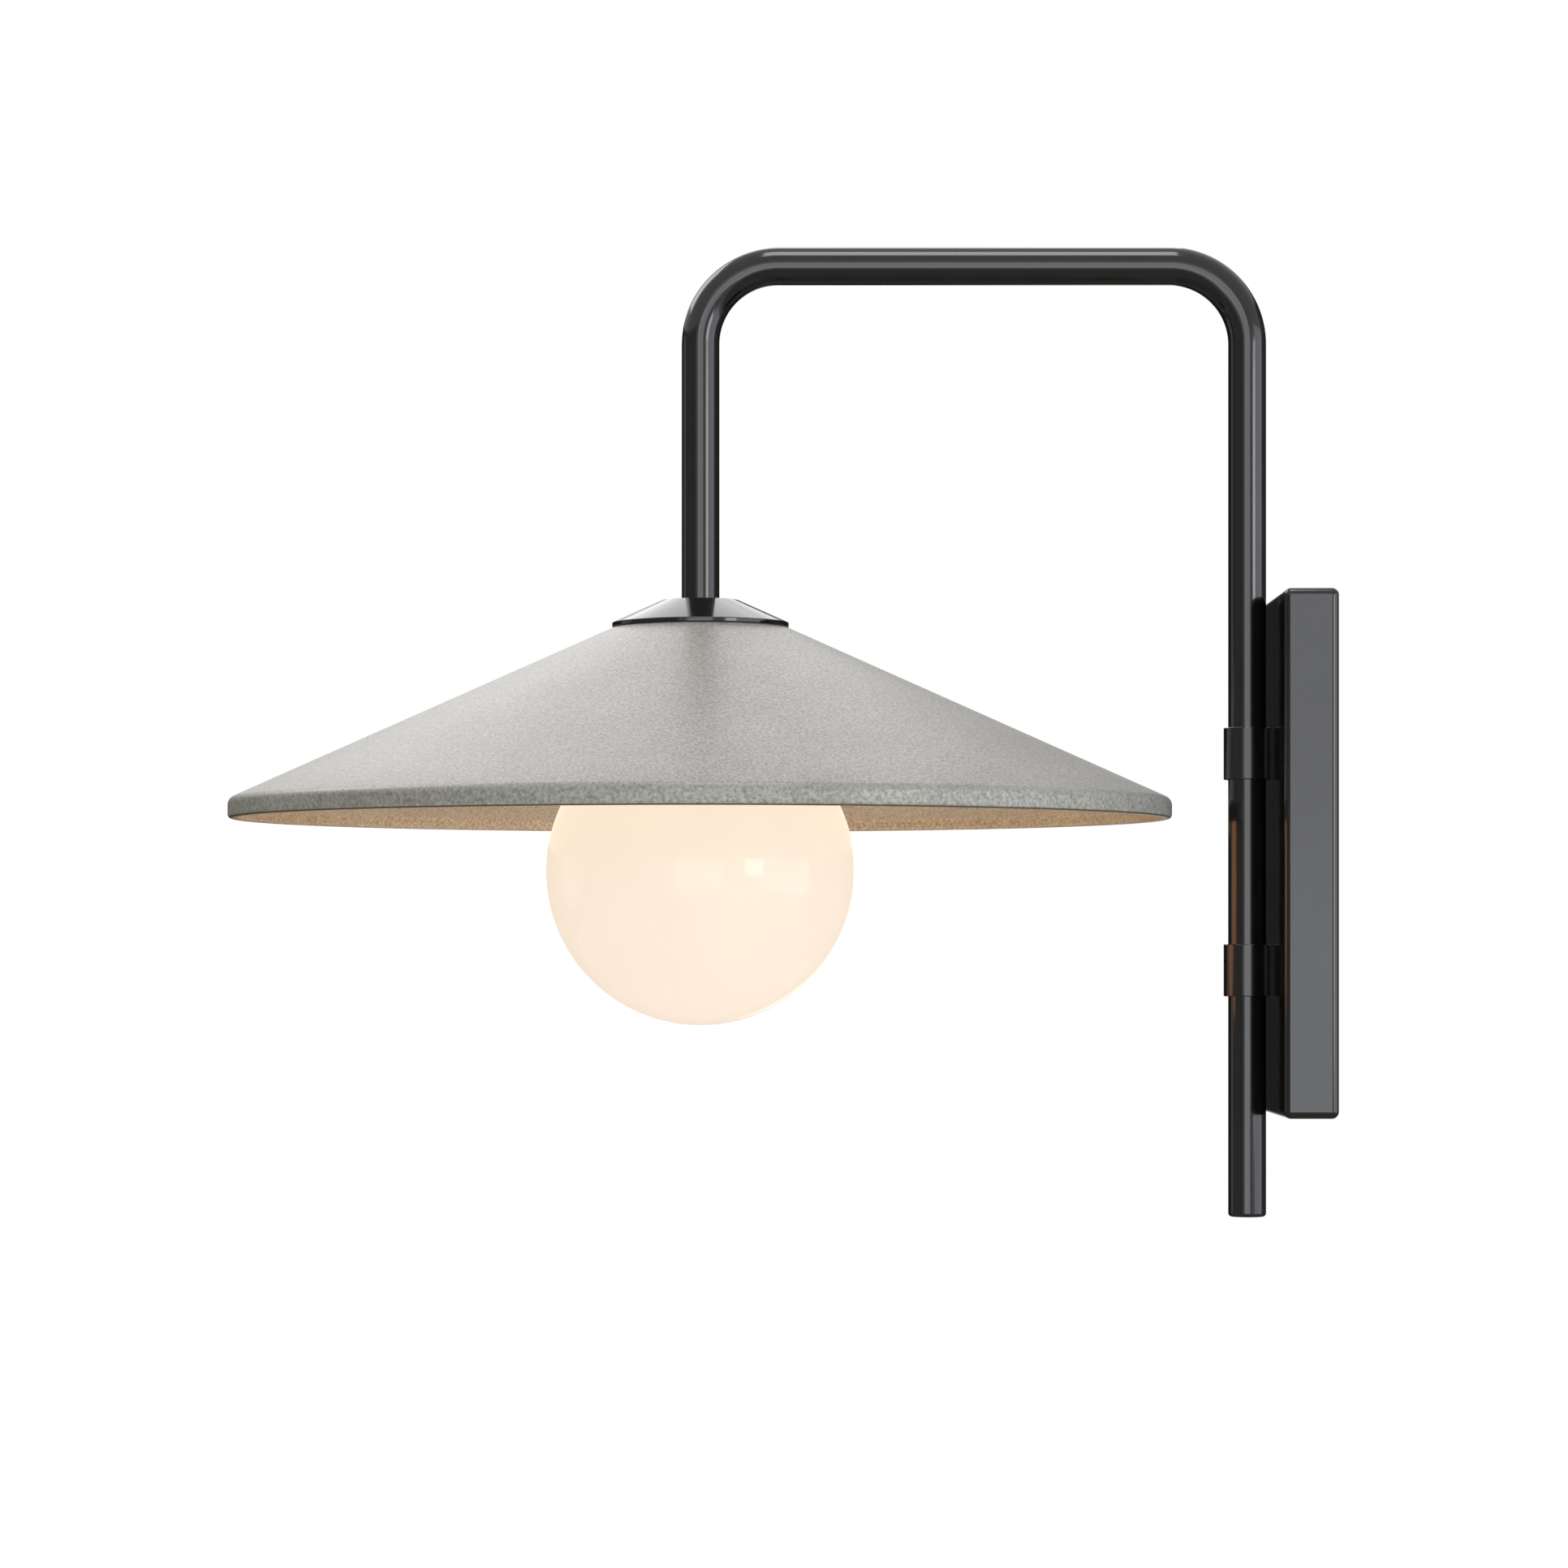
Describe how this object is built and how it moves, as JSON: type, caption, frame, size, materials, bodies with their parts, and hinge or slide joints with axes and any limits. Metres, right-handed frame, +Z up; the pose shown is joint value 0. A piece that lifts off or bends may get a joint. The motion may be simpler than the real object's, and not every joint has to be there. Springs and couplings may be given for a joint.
{
  "type": "outdoor wall light",
  "caption": "Outdoor wall light: a bent black tube arm swings in collars on a slim wall box and carries a wide conical ceramic shade over an opal globe.",
  "frame": {"origin": "middle of the wall box on the wall plane, half way between the strap's two slots", "axes": "+Z up, +Y into the wall, so the arm reaches out along -Y; +X along the wall"},
  "size_m": [0.4574, 0.5331, 0.4717],
  "materials": {
    "black_coat": "satin",
    "speckled_ceramic": "matte",
    "opal_glass": "gloss",
    "lamp_opal": "satin",
    "black_rubber": "matte",
    "zinc_steel": "satin",
    "brass": "satin",
    "porcelain": "gloss",
    "block_plastic": "matte",
    "bush_plastic": "matte",
    "lead_sheath": "satin"
  },
  "bodies": {
    "wall_bracket": {"wall_plate": "black_coat", "wall_gasket": "black_rubber", "mounting_strap": "zinc_steel", "plate_screws": "black_coat", "earth_screw": "brass", "terminal_block": "block_plastic", "terminal_screws": "brass", "block_screw": "zinc_steel", "upper_collar": "black_coat", "lower_collar": "black_coat", "collar_washers": "zinc_steel", "collar_nuts": "zinc_steel", "upper_bush": "bush_plastic", "lower_bush": "bush_plastic", "stop_screw": "zinc_steel", "plate_lead": "lead_sheath"},
    "swing_arm": {"arm_tube": "black_coat", "tube_end_plug": "black_coat", "arm_lead": "lead_sheath", "tube_ferrule": "zinc_steel", "stem_nipple": "zinc_steel", "shade_cap": "black_coat", "cap_seal": "black_rubber", "shade": "speckled_ceramic", "shade_washer": "black_rubber", "globe_holder": "black_coat", "globe_screws": "black_coat", "stem_nut": "zinc_steel", "lampholder": "porcelain", "lampholder_shell": "brass", "centre_contact": "brass", "lamp_base": "zinc_steel", "lamp_envelope": "lamp_opal", "globe_seal": "black_rubber", "globe": "opal_glass"}
  },
  "joints": [
    {"name": "arm_swing", "type": "hinge", "parent": "wall_bracket", "child": "swing_arm", "pos_m": [0, -0.0384, 0], "axis": [0, 0, 1], "range_deg": [-40, 40]}
  ]
}
